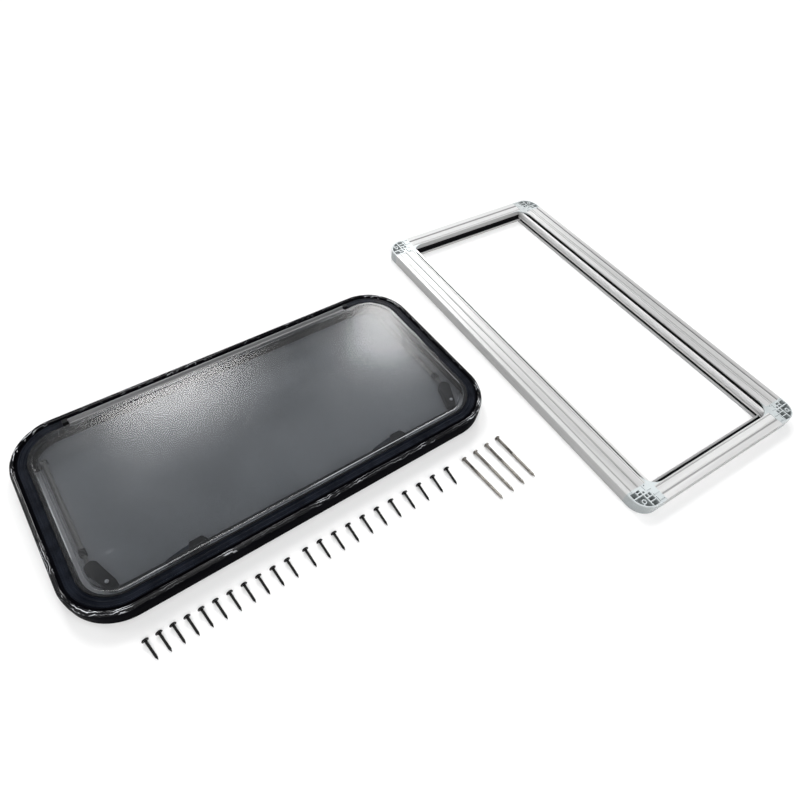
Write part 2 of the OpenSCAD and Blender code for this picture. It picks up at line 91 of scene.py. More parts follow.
class Wires:
    """Short hand for wiring one shader or geometry tree."""

    def __init__(self, tree: bpy.types.NodeTree) -> None:
        """Keeps the tree that the nodes go into."""
        self.tree = tree

    def add(self, kind: str, **props: object) -> bpy.types.Node:
        """Adds a node and sets its properties.

        Args:
            kind: Blender's identifier of the node.
            props: Properties of the node, by name.

        Returns:
            The new node.
        """
        node = self.tree.nodes.new(kind)
        for name, value in props.items():
            setattr(node, name, value)
        return node

    def plug(self, socket: Socket, value: object) -> None:
        """Links or sets one input.

        Args:
            socket: The input.
            value: Another socket, or a plain value.
        """
        if isinstance(value, Socket):
            self.tree.links.new(value, socket)
        elif value is not None:
            socket.default_value = value

    def math(self, operation: str, *values: object) -> Socket:
        """A Math node.

        Args:
            operation: What it does.
            values: Its inputs, as sockets or numbers.

        Returns:
            Its output.
        """
        node = self.add("ShaderNodeMath", operation=operation)
        for socket, value in zip(node.inputs, values):
            self.plug(socket, value)
        return node.outputs[0]

    def span(self, value: object, low: object, high: object, to_low: float = 0.0,
             to_high: float = 1.0, smooth: bool = True) -> Socket:
        """Maps one range onto another, held at its ends.

        Args:
            value: What is mapped.
            low: Start of its range.
            high: End of its range.
            to_low: Result at the start.
            to_high: Result at the end.
            smooth: True for an eased step.

        Returns:
            The mapped value.
        """
        node = self.add("ShaderNodeMapRange", interpolation_type="SMOOTHSTEP" if smooth else "LINEAR")
        for name, given in (("Value", value), ("From Min", low), ("From Max", high),
                            ("To Min", to_low), ("To Max", to_high)):
            self.plug(node.inputs[name], given)
        return node.outputs[0]

    def noise(self, place: Socket, scale: object, detail: float = 3.0, distortion: float = 0.0) -> Socket:
        """A Noise texture's value.

        Args:
            place: The coordinate it reads.
            scale: Features for each metre.
            detail: Octaves.
            distortion: How far the pattern is bent.

        Returns:
            The value, from 0 to 1.
        """
        node = self.add("ShaderNodeTexNoise")
        self.plug(node.inputs["Vector"], place)
        self.plug(node.inputs["Scale"], scale)
        node.inputs["Detail"].default_value = detail
        node.inputs["Distortion"].default_value = distortion
        return node.outputs[0]

    def blend(self, factor: object, first: object, second: object) -> Socket:
        """A colour mix.

        Args:
            factor: Share of the second colour.
            first: Colour at 0.
            second: Colour at 1.

        Returns:
            The mixed colour.
        """
        node = self.add("ShaderNodeMix", data_type="RGBA")
        for index, value in ((0, factor), (6, first), (7, second)):
            self.plug(node.inputs[index], value)
        return node.outputs[2]

    def vector(self, operation: str, *values: object) -> bpy.types.Node:
        """A Vector Math node.

        Args:
            operation: What it does.
            values: Its inputs.

        Returns:
            The node.
        """
        node = self.add("ShaderNodeVectorMath", operation=operation)
        for socket, value in zip(node.inputs, values):
            self.plug(socket, value)
        return node


def rgba(colour: Colour) -> tuple[float, float, float, float]:
    """The colour with an opaque alpha."""
    return (*colour, 1.0)


# ---------- finishes ----------


@dataclass(frozen=True)
class Finish:
    """A solid finish: colour that drifts, roughness that varies, and a fine grain in relief."""

    name: str
    slot: Slot
    colour: Colour
    roughness: float = 0.5
    metallic: float = 0.0
    specular: float = 0.5
    coat: float = 0.0
    coat_roughness: float = 0.1
    drift: float = 0.25
    rough_drift: float = 0.12
    grain: float = 900.0
    relief: float = 0.00003
    stretch: tuple[float, float, float] = (1.0, 1.0, 1.0)
    turn: float = 0.0
    bending: float = 1.5

    def build(self) -> bpy.types.Material:
        """Makes the material, or returns the one made before."""
        made = bpy.data.materials.get(self.name)
        if made:
            return made
        material = bpy.data.materials.new(self.name)
        material.use_nodes = True
        material.node_tree.nodes.clear()
        wires = Wires(material.node_tree)
        place = self.place(wires)
        shader = wires.add("ShaderNodeBsdfPrincipled")
        for socket, value in (("Metallic", self.metallic), ("Specular IOR Level", self.specular),
                              ("IOR", self.bending), ("Coat Weight", self.coat),
                              ("Coat Roughness", self.coat_roughness)):
            shader.inputs[socket].default_value = value
        fine = wires.noise(place, self.grain)
        broad = wires.noise(place, self.grain * 0.03, 4.0)
        low = tuple(c * (1 - self.drift) for c in self.colour)
        high = tuple(min(1.0, c * (1 + self.drift)) for c in self.colour)
        wires.plug(shader.inputs["Base Color"],
                   wires.blend(wires.span(broad, 0.3, 0.7), rgba(low), rgba(high)))
        wires.plug(shader.inputs["Roughness"],
                   wires.span(wires.math("ADD", wires.math("MULTIPLY", fine, 0.5),
                                         wires.math("MULTIPLY", broad, 0.5)),
                              0.3, 0.7, max(0.02, self.roughness - self.rough_drift),
                              min(1.0, self.roughness + self.rough_drift)))
        bump = wires.add("ShaderNodeBump")
        bump.inputs["Strength"].default_value = 1.0
        bump.inputs["Distance"].default_value = self.relief
        wires.plug(bump.inputs["Height"], fine)
        wires.plug(shader.inputs["Normal"], bump.outputs[0])
        out = wires.add("ShaderNodeOutputMaterial")
        wires.plug(out.inputs["Surface"], self.detail(wires, shader, place))
        return material

    def place(self, wires: Wires) -> Socket:
        """The coordinate that the patterns read.

        Args:
            wires: The material's tree.

        Returns:
            Object coordinates, turned and stretched along the grain.
        """
        mapping = wires.add("ShaderNodeMapping")
        mapping.inputs["Rotation"].default_value = (0.0, 0.0, self.turn)
        mapping.inputs["Scale"].default_value = self.stretch
        wires.plug(mapping.inputs["Vector"], wires.add("ShaderNodeTexCoord").outputs["Object"])
        return mapping.outputs[0]

    def detail(self, wires: Wires, shader: bpy.types.Node, place: Socket) -> Socket:
        """What a special finish adds.

        Args:
            wires: The material's tree.
            shader: Its Principled shader.
            place: The coordinate that the patterns read.

        Returns:
            The shader that goes to the output.
        """
        return shader.outputs[0]


@dataclass(frozen=True)
class FilmedPaint(Finish):
    """Black paint under a creased clear film, with pale lines painted along the crest as highlights on the
    creases.
    """

    # Colour of the painted highlight lines.
    painted_glint: Colour = (0.82, 0.84, 0.88)
    lines_per_metre: float = 260.0
    wander_slow: float = 4.0
    wander_quick: float = 1.6

    def detail(self, wires: Wires, shader: bpy.types.Node, place: Socket) -> Socket:
        """Adds pale lines, painted as highlights on the film's creases, and a wavy gloss where the film
        attribute says so.
        """
        film = wires.add("ShaderNodeAttribute", attribute_name="film").outputs["Fac"]
        inset = wires.add("ShaderNodeAttribute", attribute_name="inset").outputs["Fac"]
        slow, quick = wires.noise(place, 14.0, 2.0), wires.noise(place, 85.0, 2.0)
        wander = wires.math("ADD", wires.math("MULTIPLY", slow, self.wander_slow),
                            wires.math("MULTIPLY", quick, self.wander_quick))
        across = wires.math("MULTIPLY", inset, self.lines_per_metre)
        phase = wires.math("FRACT", wires.math("ADD", across, wander))
        line = wires.span(wires.math("ABSOLUTE", wires.math("SUBTRACT", phase, 0.5)), 0.05, 0.17, 1.0, 0.0)
        patch = wires.span(wires.noise(place, 30.0, 3.0), 0.42, 0.56)
        # Painted highlight: pale lines mixed into the base colour where the film attribute is high.
        glint_amount = wires.math("MULTIPLY", wires.math("MULTIPLY", line, patch), film)
        base = shader.inputs["Base Color"].links[0].from_socket
        wires.plug(shader.inputs["Base Color"], wires.blend(glint_amount, base, rgba(self.painted_glint)))
        gloss = wires.add("ShaderNodeAttribute", attribute_name="crest").outputs["Fac"]
        wires.plug(shader.inputs["Coat Weight"], wires.math("MULTIPLY", gloss, self.coat))
        return shader.outputs[0]


@dataclass(frozen=True)
class SmokedSheet(Finish):
    """Clear smoked acrylic: tinted, mirrored by its angle, faintly hazed and scratched, with a pale highlight
    painted along the creased line inside the rim.
    """

    tint: Colour = (0.72, 0.735, 0.75)
    haze: float = 0.02
    scratches: float = 0.25
    ior: float = 1.49
    # Inset and strength of the painted highlight on the creased line.
    line_in: float = 0.0408
    line: float = 0.0
    bend_reach: float = 0.02
    core: Point = (0.35, 0.125)
    corner: float = 0.1

    def build(self) -> bpy.types.Material:
        """Makes the material, or returns the one made before."""
        made = bpy.data.materials.get(self.name)
        if made:
            return made
        material = bpy.data.materials.new(self.name)
        material.use_nodes = True
        material.node_tree.nodes.clear()
        wires = Wires(material.node_tree)
        place = self.place(wires)
        cloud = wires.noise(place, 5.0, 3.0)
        tint = wires.blend(wires.span(cloud, 0.35, 0.65),
                           rgba(tuple(c * 0.975 for c in self.tint)), rgba(self.tint))
        clear = wires.add("ShaderNodeBsdfTransparent")
        wires.plug(clear.inputs["Color"], tint)
        bump = wires.add("ShaderNodeBump")
        bump.inputs["Strength"].default_value = 1.0
        bump.inputs["Distance"].default_value = self.relief
        wires.plug(bump.inputs["Height"], wires.noise(place, 16.0, 2.0, 0.4))
        mirror = wires.add("ShaderNodeBsdfGlossy")
        mirror.inputs["Color"].default_value = (1.0, 1.0, 1.0, 1.0)
        wires.plug(mirror.inputs["Roughness"],
                   wires.span(wires.noise(place, 9.0, 3.0), 0.35, 0.7,
                              self.roughness - self.rough_drift, self.roughness + self.rough_drift))
        wires.plug(mirror.inputs["Normal"], bump.outputs[0])
        fresnel = wires.add("ShaderNodeFresnel")
        fresnel.inputs["IOR"].default_value = self.ior
        front = wires.math("SUBTRACT", 1.0, wires.add("ShaderNodeNewGeometry").outputs["Backfacing"])
        share = wires.math("MULTIPLY", fresnel.outputs[0], front)
        glass = wires.add("ShaderNodeMixShader")
        wires.plug(glass.inputs[0], share)
        wires.plug(glass.inputs[1], clear.outputs[0])
        wires.plug(glass.inputs[2], mirror.outputs[0])
        dust_and_highlight = wires.add("ShaderNodeBsdfDiffuse")
        dust_and_highlight.inputs["Color"].default_value = rgba(self.colour)
        # The pale diffuse veil carries the scratches and the painted highlight on the creased line.
        scratches_and_highlight = wires.math("ADD", self.marks(wires, place), self.painted_crease_highlight(wires, place))
        veil = wires.math("MULTIPLY", wires.math("ADD", scratches_and_highlight, self.haze), front)
        mixed = wires.add("ShaderNodeMixShader")
        wires.plug(mixed.inputs[0], veil)
        wires.plug(mixed.inputs[1], glass.outputs[0])
        wires.plug(mixed.inputs[2], dust_and_highlight.outputs[0])
        out = wires.add("ShaderNodeOutputMaterial")
        wires.plug(out.inputs["Surface"], mixed.outputs[0])
        return material

    def painted_crease_highlight(self, wires: Wires, place: Socket) -> Socket:
        """A painted highlight: the pale line where the pane is creased, just inside the rim.

        Args:
            wires: The material's tree.
            place: The coordinate that the patterns read.

        Returns:
            How strongly each point takes the painted highlight.
        """
        own = wires.add("ShaderNodeTexCoord").outputs["Object"]
        over = wires.vector("MAXIMUM", wires.vector("SUBTRACT", wires.vector("ABSOLUTE", own).outputs[0],
                                                    (*self.core, 10.0)).outputs[0], (0.0, 0.0, 0.0))
        inset = wires.math("SUBTRACT", self.corner, wires.vector("LENGTH", over.outputs[0]).outputs["Value"])
        away = wires.math("ABSOLUTE", wires.math("SUBTRACT", inset, self.line_in))
        parts = wires.add("ShaderNodeSeparateXYZ")
        wires.plug(parts.inputs[0], over.outputs[0])
        bend = wires.math("MULTIPLY", wires.span(parts.outputs[0], 0.0, self.bend_reach),
                          wires.span(parts.outputs[1], 0.0, self.bend_reach))
        # The painted highlight is patchy and weaker towards the corners.
        patch = wires.math("MULTIPLY", wires.span(wires.noise(place, 7.0, 3.0), 0.42, 0.58, 0.2, 1.0),
                           wires.span(bend, 0.0, 0.5, 1.0, 0.25))
        return wires.math("MULTIPLY", wires.span(away, 0.0002, 0.0008, self.line, 0.0), patch)

    def marks(self, wires: Wires, place: Socket) -> Socket:
        """Short hairline scratches.

        Args:
            wires: The material's tree.
            place: The coordinate that the patterns read.

        Returns:
            How much each point is scratched.
        """
        total = None
        for turn, scale, seed in ((0.5, 38.0, 0.0), (2.2, 30.0, 3.7)):
            mapping = wires.add("ShaderNodeMapping")
            mapping.inputs["Rotation"].default_value = (0.0, 0.0, turn)
            mapping.inputs["Location"].default_value = (seed, seed, 0.0)
            mapping.inputs["Scale"].default_value = (0.5, 9.0, 1.0)
            wires.plug(mapping.inputs["Vector"], place)
            lines = wires.span(wires.noise(mapping.outputs[0], scale, 1.0, 0.15), 0.735, 0.78)
            patch = wires.span(wires.noise(place, 11.0 + seed, 1.0), 0.52, 0.64)
            mark = wires.math("MULTIPLY", wires.math("MULTIPLY", lines, patch), self.scratches)
            total = mark if total is None else wires.math("ADD", total, mark)
        return total


@dataclass(frozen=True)
class WovenCloth(Finish):
    """Pleated cloth with a square weave."""

    threads: float = 1400.0

    def detail(self, wires: Wires, shader: bpy.types.Node, place: Socket) -> Socket:
        """Adds the weave's relief."""
        weave = None
        for axis in ("X", "Y"):
            wave = wires.add("ShaderNodeTexWave", bands_direction=axis)
            wave.inputs["Scale"].default_value = self.threads
            wires.plug(wave.inputs["Vector"], place)
            weave = wave.outputs["Fac"] if weave is None else wires.math("ADD", weave, wave.outputs["Fac"])
        bump = wires.add("ShaderNodeBump")
        bump.inputs["Distance"].default_value = self.relief * 3
        wires.plug(bump.inputs["Height"], weave)
        wires.plug(shader.inputs["Normal"], bump.outputs[0])
        return shader.outputs[0]


@dataclass(frozen=True)
class ShadePaintedRail(Finish):
    """Brushed aluminium with painted shade: darker along each rolled groove and down its outer wall, where
    shade falls.
    """

    middle: Point = (0.792, -0.122)
    axis: int = 0
    half: float = 0.254
    # Each groove's inset, width and share of painted shade.
    shaded_grooves: tuple[tuple[float, float, float], ...] = ((0.0115, 0.0028, 0.5), (0.0320, 0.0018, 0.4))
    # Share of painted shade down the outer wall.
    wall: float = 0.35

    def detail(self, wires: Wires, shader: bpy.types.Node, place: Socket) -> Socket:
        """Paints shade into each groove and down the wall."""
        own = wires.add("ShaderNodeTexCoord").outputs["Object"]
        moved = wires.add("ShaderNodeMapping")
        moved.inputs["Rotation"].default_value = (0.0, 0.0, self.turn)
        wires.plug(moved.inputs["Vector"], wires.vector("SUBTRACT", own, (*self.middle, 0.0)).outputs[0])
        parts = wires.add("ShaderNodeSeparateXYZ")
        wires.plug(parts.inputs[0], moved.outputs[0])
        inset = wires.math("SUBTRACT", self.half, wires.math("ABSOLUTE", parts.outputs[self.axis]))
        # Painted shade: everything below the wall's top is darkened by the wall share.
        total = wires.span(parts.outputs[2], 0.0225, 0.0245, self.wall, 0.0)
        # Painted shade along each groove, strongest at its middle.
        for at, width, depth in self.shaded_grooves:
            away = wires.math("ABSOLUTE", wires.math("SUBTRACT", inset, at))
            total = wires.math("MAXIMUM", total, wires.span(away, width * 0.35, width, depth, 0.0))
        # The painted shade mixes the base colour towards 0.12 of itself.
        base = shader.inputs["Base Color"].links[0].from_socket
        wires.plug(shader.inputs["Base Color"],
                   wires.blend(total, base, rgba(tuple(c * 0.12 for c in self.colour))))
        return shader.outputs[0]


CASSETTE_TURN = math.radians(-2.8)
ALONG_V = (1.0, 0.02, 1.0)
ALONG_U = (0.02, 1.0, 1.0)

# The rim's paint carries painted highlight lines along its crest.
FILM_BLACK = FilmedPaint("black_paint_under_film", Slot.BLACK_FRAME, (0.003, 0.003, 0.0042), roughness=0.3,
                         specular=0.5, bending=1.02, coat=0.42, coat_roughness=0.03, grain=500.0,
                         rough_drift=0.08, relief=0.00002)
SATIN_BLACK = Finish("satin_black_paint", Slot.BLACK_FRAME, (0.003, 0.003, 0.004), roughness=0.42,
                     bending=1.03, grain=700.0)
RUBBER = Finish("blue_black_rubber", Slot.RUBBER, (0.005, 0.0065, 0.011), roughness=0.3, bending=1.16,
                grain=1100.0, drift=0.3)
BLACK_PLASTIC = Finish("fine_grained_black_plastic", Slot.BLACK_PLASTIC, (0.005, 0.005, 0.006),
                       roughness=0.5, specular=0.15, grain=1600.0, relief=0.00005)
NAVY_PLASTIC = Finish("navy_handle_plastic", Slot.NAVY_PLASTIC, (0.012, 0.035, 0.075), roughness=0.4,
                      specular=0.3, grain=1500.0, relief=0.00004)
# The outer pane carries the painted highlight on its creased line at full strength.
SMOKED_OUTER = SmokedSheet("smoked_outer_acrylic", Slot.SMOKED_ACRYLIC, (0.55, 0.57, 0.6), roughness=0.19,
                           rough_drift=0.02, relief=0.0002, tint=(0.735, 0.745, 0.76), haze=0.015, line=1.0)
SMOKED_INNER = SmokedSheet("smoked_inner_acrylic", Slot.SMOKED_ACRYLIC, (0.5, 0.52, 0.55), roughness=0.3,
                           rough_drift=0.02, relief=0.0002, tint=(0.745, 0.75, 0.755), haze=0.006,
                           scratches=0.05)
# The rails take painted shade along each groove and down their outer walls.
RAIL_LONG = ShadePaintedRail("brushed_rail_lengthways", Slot.ALUMINIUM, (0.64, 0.64, 0.64), roughness=0.38,
                        metallic=0.3, specular=0.3, grain=1500.0, drift=0.08, relief=0.00002,
                        stretch=ALONG_V, turn=-CASSETTE_TURN)
RAIL_END = ShadePaintedRail("brushed_rail_crossways", Slot.ALUMINIUM, (0.66, 0.66, 0.66), roughness=0.5,
                       metallic=0.1, bending=1.2, grain=1500.0, drift=0.08, relief=0.00002,
                       stretch=ALONG_U, turn=-CASSETTE_TURN, axis=1, half=0.4675,
                       shaded_grooves=((0.0145, 0.0030, 0.6), (0.0320, 0.0018, 0.45)))
BAR_ALLOY = Finish("brushed_pull_bar", Slot.ALUMINIUM, (0.78, 0.78, 0.78), roughness=0.4, metallic=0.3,
                   specular=0.3, grain=1500.0, drift=0.08, relief=0.00002, stretch=ALONG_V,
                   turn=-CASSETTE_TURN)
HINGE_ALLOY = Finish("grey_hinge_rail", Slot.ALUMINIUM, (0.16, 0.16, 0.165), roughness=0.45, metallic=0.7,
                     grain=1200.0, drift=0.12, relief=0.00002, stretch=ALONG_U)
FITTING_ALLOY = Finish("plated_fitting", Slot.ALUMINIUM, (0.6, 0.6, 0.6), roughness=0.32, metallic=1.0,
                       grain=1800.0, drift=0.1, relief=0.00002)
STAY_ALLOY = Finish("satin_stay_tube", Slot.STAY_ALLOY, (0.62, 0.595, 0.54), roughness=0.4, metallic=0.2,
                    grain=1500.0, drift=0.08, relief=0.00002, stretch=ALONG_V)
# The corner blocks take painted shade down their walls, with no groove.
CORNER_PLASTIC = ShadePaintedRail("pale_corner_plastic", Slot.CORNER_PLASTIC, (0.56, 0.60, 0.61), roughness=0.25,
                             bending=1.4, grain=420.0, drift=0.12, relief=0.00005, shaded_grooves=(), wall=0.36)
BLACKOUT = WovenCloth("blackout_weave", Slot.BLACKOUT_CLOTH, (0.035, 0.035, 0.038), roughness=0.85,
                      specular=0.2, grain=700.0)
SCREEN = WovenCloth("flyscreen_weave", Slot.SCREEN_MESH, (0.02, 0.02, 0.02), roughness=0.75, specular=0.25,
                    threads=900.0, grain=700.0)
BLACK_STEEL = Finish("blackened_steel", Slot.BLACK_STEEL, (0.0035, 0.0035, 0.0035), roughness=0.35,
                     bending=1.25, grain=2200.0, drift=0.4, relief=0.00004)
BRIGHT_STEEL = Finish("plated_steel", Slot.BRIGHT_STEEL, (0.23, 0.215, 0.195), roughness=0.26, metallic=1.0,
                      grain=1800.0, drift=0.22, relief=0.00003)


# ---------- making meshes ----------


def body_of(node: str) -> str:
    """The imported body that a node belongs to."""
    bodies = frame["record"]["behaviour"]["bodies"]
    return next(body for body, members in bodies.items() if node in members)


def new_piece(name: str, mesh: bpy.types.Mesh, finish: Finish) -> bpy.types.Object:
    """Links a finished mesh as a piece.

    Args:
        name: Name of the piece.
        mesh: Its mesh, in place.
        finish: Its finish.

    Returns:
        The piece.
    """
    mesh.materials.clear()
    mesh.materials.append(finish.build())
    for face in mesh.polygons:
        face.material_index = 0
    piece = bpy.data.objects.new(name, mesh)
    bpy.context.scene.collection.objects.link(piece)
    return piece


def shade(mesh: bpy.types.Mesh, degrees: float) -> None:
    """Smooths a mesh except at its sharper edges.

    Args:
        mesh: The mesh.
        degrees: Edges that turn more than this stay sharp.
    """
    mesh.shade_smooth()
    mesh.set_sharp_from_angle(angle=math.radians(degrees))


def baked(piece: bpy.types.Object) -> bpy.types.Mesh:
    """The piece's mesh with its modifiers applied."""
    graph = bpy.context.evaluated_depsgraph_get()
    return bpy.data.meshes.new_from_object(piece.evaluated_get(graph), preserve_all_data_layers=True,
                                           depsgraph=graph)


def eased_copy(node: str, finish: Finish, edge: float, segments: int = 2,
               name: str | None = None) -> bpy.types.Object:
    """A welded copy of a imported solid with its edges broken, which stands for it.

    Args:
        node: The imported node.
        finish: Its finish.
        edge: Width of the broken edge.
        segments: Facets across each edge.
        name: Name of the piece, if not the node's own with _fine.

    Returns:
        The piece, riding on the node's body.
    """
    source = frame["nodes"][node].data
    mesh = bpy.data.meshes.new(node + "_fine")
    mesh.from_pydata([v.co[:] for v in source.vertices], [], [p.vertices[:] for p in source.polygons])
    work = bmesh.new()
    work.from_mesh(mesh)
    bmesh.ops.remove_doubles(work, verts=work.verts, dist=2e-6)
    bmesh.ops.dissolve_degenerate(work, dist=1e-6, edges=work.edges)
    bmesh.ops.dissolve_limit(work, angle_limit=math.radians(0.6), verts=work.verts, edges=work.edges)
    work.to_mesh(mesh)
    work.free()
    piece = new_piece(name or node + "_fine", mesh, finish)
    bevel = piece.modifiers.new("edges", "BEVEL")
    bevel.width = edge
    bevel.segments = segments
    bevel.limit_method = "ANGLE"
    bevel.angle_limit = math.radians(28.0)
    weighted = piece.modifiers.new("normals", "WEIGHTED_NORMAL")
    weighted.keep_sharp = True
    mesh.shade_smooth()
    done = baked(piece)
    piece.modifiers.clear()
    piece.data = done
    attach(piece, body_of(node))
    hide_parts(node)
    return piece


def rounded(corners: list[tuple[float, float, float]], step: float = 24.0) -> list[Point]:
    """A section with its corners rounded.

    Args:
        corners: Each corner with its radius, in millimetres.
        step: Most degrees that one facet turns.

    Returns:
        The section's points, in metres.
    """
    points: list[Point] = []
    count = len(corners)
    for i, (x, y, radius) in enumerate(corners):
        here = Vector((x, y))
        back = Vector(corners[i - 1][:2]) - here
        ahead = Vector(corners[(i + 1) % count][:2]) - here
        angle = back.angle(ahead)
        reach = 0.0 if radius <= 0 else min(radius / math.tan(angle / 2), back.length * 0.48,
                                            ahead.length * 0.48)
        if reach < 1e-6:
            points.append((x * MM, y * MM))
            continue
        start, end = here + back.normalized() * reach, here + ahead.normalized() * reach
        pieces = max(1, math.ceil(math.degrees(math.pi - angle) / step))
        for k in range(pieces + 1):
            t = k / pieces
            on = start * (1 - t) ** 2 + here * 2 * t * (1 - t) + end * t ** 2
            points.append((on.x * MM, on.y * MM))
    return points


def section_object(points: list[Point]) -> bpy.types.Object:
    """A closed section as a curve, ready to be swept round the rim.

    Args:
        points: Each point's inset from the rim's outer edge, and its height.

    Returns:
        The curve object, whose own X points out of the rim and Y down.
    """
    area = sum(a[0] * b[1] - b[0] * a[1] for a, b in zip(points, points[1:] + points[:1]))
    ordered = points if area > 0 else points[::-1]
    curve = bpy.data.curves.new("section", "CURVE")
    curve.dimensions = "3D"
    spline = curve.splines.new("POLY")
    spline.points.add(len(ordered) - 1)
    for point, (inset, height) in zip(spline.points, ordered):
        point.co = (-inset, -height, 0.0, 1.0)
    spline.use_cyclic_u = True
    holder = bpy.data.objects.new("section", curve)
    bpy.context.scene.collection.objects.link(holder)
    return holder


def new_tree(name: str, inputs: list[tuple[str, str]]) -> tuple[Wires, bpy.types.Node, bpy.types.Node]:
    """An empty geometry tree with named inputs.

    Args:
        name: Name of the tree.
        inputs: Each input's name and socket type.

    Returns:
        Its wires, its input node and its output node.
    """
    tree = bpy.data.node_groups.new(name, "GeometryNodeTree")
    tree.interface.new_socket("Geometry", in_out="INPUT", socket_type="NodeSocketGeometry")
    for label, kind in inputs:
        tree.interface.new_socket(label, in_out="INPUT", socket_type=kind)
    tree.interface.new_socket("Geometry", in_out="OUTPUT", socket_type="NodeSocketGeometry")
    wires = Wires(tree)
    return wires, wires.add("NodeGroupInput"), wires.add("NodeGroupOutput")


def grow(name: str, tree: bpy.types.NodeTree, values: dict[str, object]) -> bpy.types.Mesh:
    """Runs a geometry tree once and keeps what it makes.

    Args:
        name: Name of the mesh.
        tree: The tree.
        values: The value of each named input.

    Returns:
        The finished plain mesh.
    """
    holder = bpy.data.objects.new(name, bpy.data.meshes.new(name))
    modifier = holder.modifiers.new("grow", "NODES")
    modifier.node_group = tree
    for item in tree.interface.items_tree:
        if item.in_out == "INPUT" and item.name in values:
            modifier[item.identifier] = values[item.name]
    bpy.context.scene.collection.objects.link(holder)
    mesh = baked(holder)
    holder.modifiers.clear()
    bpy.data.objects.remove(holder)
    mesh.name = name
    return mesh


def rim_sweep_tree() -> bpy.types.NodeTree:
    """A section swept round the rim's rounded rectangle, with film creases along its crest."""
    wires, given, out = new_tree("rim_sweep", [
        ("Width", "NodeSocketFloat"), ("Height", "NodeSocketFloat"), ("Corner", "NodeSocketFloat"),
        ("Spacing", "NodeSocketFloat"), ("Section", "NodeSocketObject"), ("Crease Height", "NodeSocketFloat"),
        ("Crease Scale", "NodeSocketFloat"), ("Crest Level", "NodeSocketFloat"),
        ("Crest Width", "NodeSocketFloat"), ("Material", "NodeSocketMaterial")])
    get = {socket.name: socket for socket in given.outputs}
    path = wires.add("GeometryNodeCurvePrimitiveQuadrilateral")
    wires.plug(path.inputs["Width"], get["Width"])
    wires.plug(path.inputs["Height"], get["Height"])
    fillet = wires.add("GeometryNodeFilletCurve", mode="POLY")
    wires.plug(fillet.inputs["Curve"], path.outputs[0])
    fillet.inputs["Count"].default_value = 64
    wires.plug(fillet.inputs["Radius"], get["Corner"])
    even = wires.add("GeometryNodeResampleCurve", mode="LENGTH")
    wires.plug(even.inputs["Curve"], fillet.outputs[0])
    wires.plug(even.inputs["Length"], get["Spacing"])
    upright = wires.add("GeometryNodeSetCurveNormal", mode="Z_UP")
    wires.plug(upright.inputs["Curve"], even.outputs[0])
    section = wires.add("GeometryNodeObjectInfo")
    wires.plug(section.inputs["Object"], get["Section"])
    swept = wires.add("GeometryNodeCurveToMesh")
    wires.plug(swept.inputs["Curve"], upright.outputs[0])
    wires.plug(swept.inputs["Profile Curve"], section.outputs["Geometry"])
    place = wires.add("GeometryNodeInputPosition").outputs[0]
    core = wires.add("ShaderNodeCombineXYZ")
    for axis, size in (("X", "Width"), ("Y", "Height")):
        wires.plug(core.inputs[axis], wires.math("SUBTRACT", wires.math("MULTIPLY", get[size], 0.5),
                                                 get["Corner"]))
    core.inputs["Z"].default_value = 10.0
    over = wires.vector("MAXIMUM", wires.vector("SUBTRACT", wires.vector("ABSOLUTE", place).outputs[0],
                                                core.outputs[0]).outputs[0], (0.0, 0.0, 0.0))
    inset = wires.math("SUBTRACT", get["Corner"], wires.vector("LENGTH", over.outputs[0]).outputs["Value"])
    parts = wires.add("ShaderNodeSeparateXYZ")
    wires.plug(parts.inputs[0], over.outputs[0])
    turn = wires.math("MULTIPLY", wires.span(parts.outputs[0], -0.001, 0.022),
                      wires.span(parts.outputs[1], -0.001, 0.022))
    height = wires.add("ShaderNodeSeparateXYZ")
    wires.plug(height.inputs[0], place)
    crest = wires.math("MULTIPLY",
                       wires.span(height.outputs[2], get["Crest Level"],
                                  wires.math("ADD", get["Crest Level"], 0.002)),
                       wires.span(inset, get["Crest Width"], wires.math("SUBTRACT", get["Crest Width"], 0.001)))
    loose = wires.span(wires.noise(place, 13.0, 2.0), 0.5, 0.62, 0.1, 0.55)
    film = wires.math("MULTIPLY", crest, wires.math("MAXIMUM", turn, loose))
    across = wires.add("ShaderNodeCombineXYZ")
    wires.plug(across.inputs["Z"], wires.math("MULTIPLY", inset, 12.0))
    spread = wires.vector("ADD", place, across.outputs[0]).outputs[0]
    wave = wires.math("SUBTRACT", wires.noise(spread, get["Crease Scale"], 2.0, 0.8), 0.5)
    lift = wires.math("MULTIPLY", wires.math("MULTIPLY", wave, film), get["Crease Height"])
    offset = wires.vector("SCALE", wires.add("GeometryNodeInputNormal").outputs[0])
    wires.plug(offset.inputs["Scale"], lift)
    moved = wires.add("GeometryNodeSetPosition")
    wires.plug(moved.inputs["Geometry"], swept.outputs[0])
    wires.plug(moved.inputs["Offset"], offset.outputs[0])
    made = moved.outputs[0]
    # film masks both the real wrinkles lifted above and the painted highlight lines of the rim's paint.
    for label, value in (("film", film), ("crest", crest), ("inset", inset)):
        noted = wires.add("GeometryNodeStoreNamedAttribute", data_type="FLOAT", domain="POINT")
        noted.inputs["Name"].default_value = label
        wires.plug(noted.inputs["Geometry"], made)
        wires.plug(noted.inputs["Value"], value)
        made = noted.outputs[0]
    finish_tree(wires, made, get["Material"], out)
    return wires.tree


def finish_tree(wires: Wires, geometry: Socket, material: Socket, out: bpy.types.Node) -> None:
    """Ends a tree in real geometry with its material.

    Args:
        wires: The tree's wires.
        geometry: What has been made.
        material: The material input.
        out: The output node.
    """
    real = wires.add("GeometryNodeRealizeInstances")
    wires.plug(real.inputs[0], geometry)
    dressed = wires.add("GeometryNodeSetMaterial")
    wires.plug(dressed.inputs["Geometry"], real.outputs[0])
    wires.plug(dressed.inputs["Material"], material)
    wires.plug(out.inputs[0], dressed.outputs[0])


